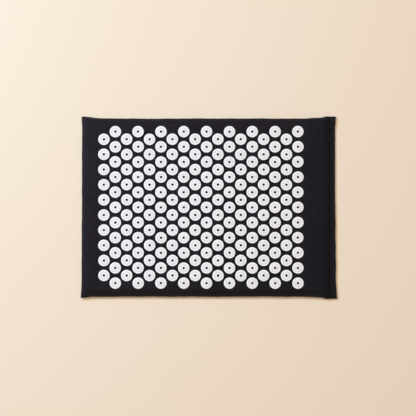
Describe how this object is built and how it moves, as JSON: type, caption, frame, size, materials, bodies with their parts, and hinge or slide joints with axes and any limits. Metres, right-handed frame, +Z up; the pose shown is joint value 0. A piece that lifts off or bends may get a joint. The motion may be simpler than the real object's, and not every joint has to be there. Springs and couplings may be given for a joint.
{
  "type": "acupressure mat",
  "caption": "Flat oblong foam mat in a black cloth cover, topped with staggered columns of round white spiked discs, with a hook-and-loop mouth at one end.",
  "frame": {"origin": "on the floor, under the middle of the mat's bounding box", "axes": "+X along the mat's length towards the cover's mouth, +Y across the mat, +Z up"},
  "size_m": [0.58, 0.4144, 0.0273],
  "materials": {
    "black_cloth": "black cotton canvas, plain weave",
    "white_plastic": "white moulded plastic, semi-gloss",
    "foam": "pale open-cell foam",
    "closure_tape": "black woven hook-and-loop tape",
    "thread": "black sewing thread"
  },
  "bodies": {
    "mat": {"foam_pad": "foam", "top_panel": "black_cloth", "bottom_panel": "black_cloth", "loop_tape": "closure_tape", "seam_thread": "thread", "disc_column_01": "white_plastic", "disc_column_02": "white_plastic", "disc_column_03": "white_plastic", "disc_column_04": "white_plastic", "disc_column_05": "white_plastic", "disc_column_06": "white_plastic", "disc_column_07": "white_plastic", "disc_column_08": "white_plastic", "disc_column_09": "white_plastic", "disc_column_10": "white_plastic", "disc_column_11": "white_plastic", "disc_column_12": "white_plastic", "disc_column_13": "white_plastic", "disc_column_14": "white_plastic", "disc_column_15": "white_plastic", "disc_column_16": "white_plastic", "disc_column_17": "white_plastic", "disc_column_18": "white_plastic"},
    "flap": {"mouth_flap": "black_cloth", "hook_tape": "closure_tape", "hem_thread": "thread"}
  },
  "joints": [
    {"name": "mouth_opening", "type": "hinge", "parent": "mat", "child": "flap", "pos_m": [0.26598, 0, 0.02235], "axis": [0, -1, 0], "range_deg": [0, 180]}
  ]
}
